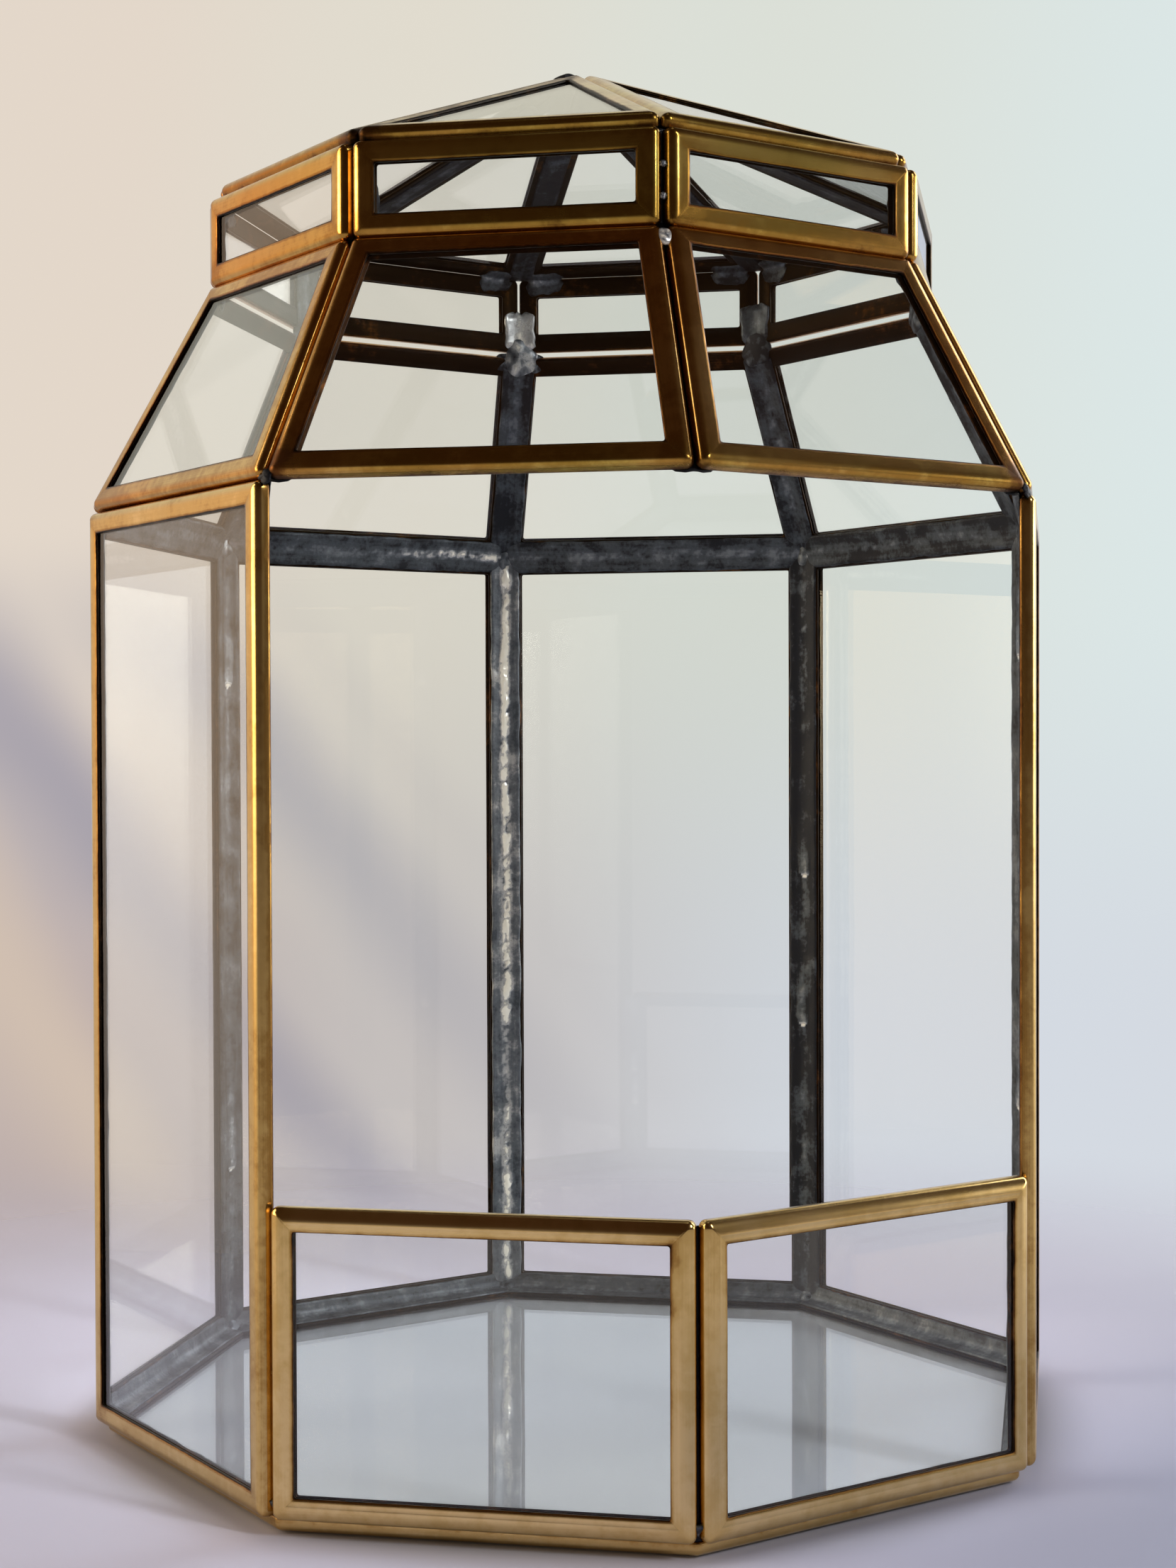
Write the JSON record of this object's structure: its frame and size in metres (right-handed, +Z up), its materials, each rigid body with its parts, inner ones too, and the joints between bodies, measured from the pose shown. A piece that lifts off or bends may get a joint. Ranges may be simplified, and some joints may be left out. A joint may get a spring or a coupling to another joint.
{
  "type": "glass cloche",
  "caption": "Octagonal glass cloche of flat panes in bent brass channels soldered inside, open at the front above a low sill, with a sloping roof, upright collar and shallow cap.",
  "frame": {"origin": "centre of the underside, on the surface the cloche stands on", "axes": "+Z up; the open front faces -Y; +X to the right of someone facing the front"},
  "size_m": [0.2306, 0.2306, 0.3191],
  "materials": {
    "brass": "aged satin, browned in the seams",
    "glass": "clear, faint green tint",
    "solder": "dull blue-grey, mottled, with bright streaks"
  },
  "bodies": {
    "root": {"cap_channel_front_left": "brass", "cap_channel_front_right": "brass", "cap_channel_left_front": "brass", "cap_channel_left_rear": "brass", "cap_channel_rear_left": "brass", "cap_channel_rear_right": "brass", "cap_channel_right_front": "brass", "cap_channel_right_rear": "brass", "cap_panes": "glass", "cap_solder": "solder", "collar_channel_front_left": "brass", "collar_channel_front_right": "brass", "collar_channel_left_front": "brass", "collar_channel_left_rear": "brass", "collar_channel_rear_left": "brass", "collar_channel_rear_right": "brass", "collar_channel_right_front": "brass", "collar_channel_right_rear": "brass", "collar_panes": "glass", "collar_solder": "solder", "eave_solder": "solder", "floor_channel": "brass", "floor_pane": "glass", "floor_solder": "solder", "hip_solder": "solder", "neck_solder": "solder", "post_solder": "solder", "roof_channel_front_left": "brass", "roof_channel_front_right": "brass", "roof_channel_left_front": "brass", "roof_channel_left_rear": "brass", "roof_channel_rear_left": "brass", "roof_channel_rear_right": "brass", "roof_channel_right_front": "brass", "roof_channel_right_rear": "brass", "roof_pane_front_left": "glass", "roof_pane_front_right": "glass", "roof_pane_left_front": "glass", "roof_pane_left_rear": "glass", "roof_pane_rear_left": "glass", "roof_pane_rear_right": "glass", "roof_pane_right_front": "glass", "roof_pane_right_rear": "glass", "shoulder_solder": "solder", "sill_channel_front_left": "brass", "sill_channel_front_right": "brass", "sill_pane_front_left": "glass", "sill_pane_front_right": "glass", "wall_channel_left_front": "brass", "wall_channel_left_rear": "brass", "wall_channel_rear_left": "brass", "wall_channel_rear_right": "brass", "wall_channel_right_front": "brass", "wall_channel_right_rear": "brass", "wall_pane_left_front": "glass", "wall_pane_left_rear": "glass", "wall_pane_rear_left": "glass", "wall_pane_rear_right": "glass", "wall_pane_right_front": "glass", "wall_pane_right_rear": "glass"}
  },
  "joints": []
}
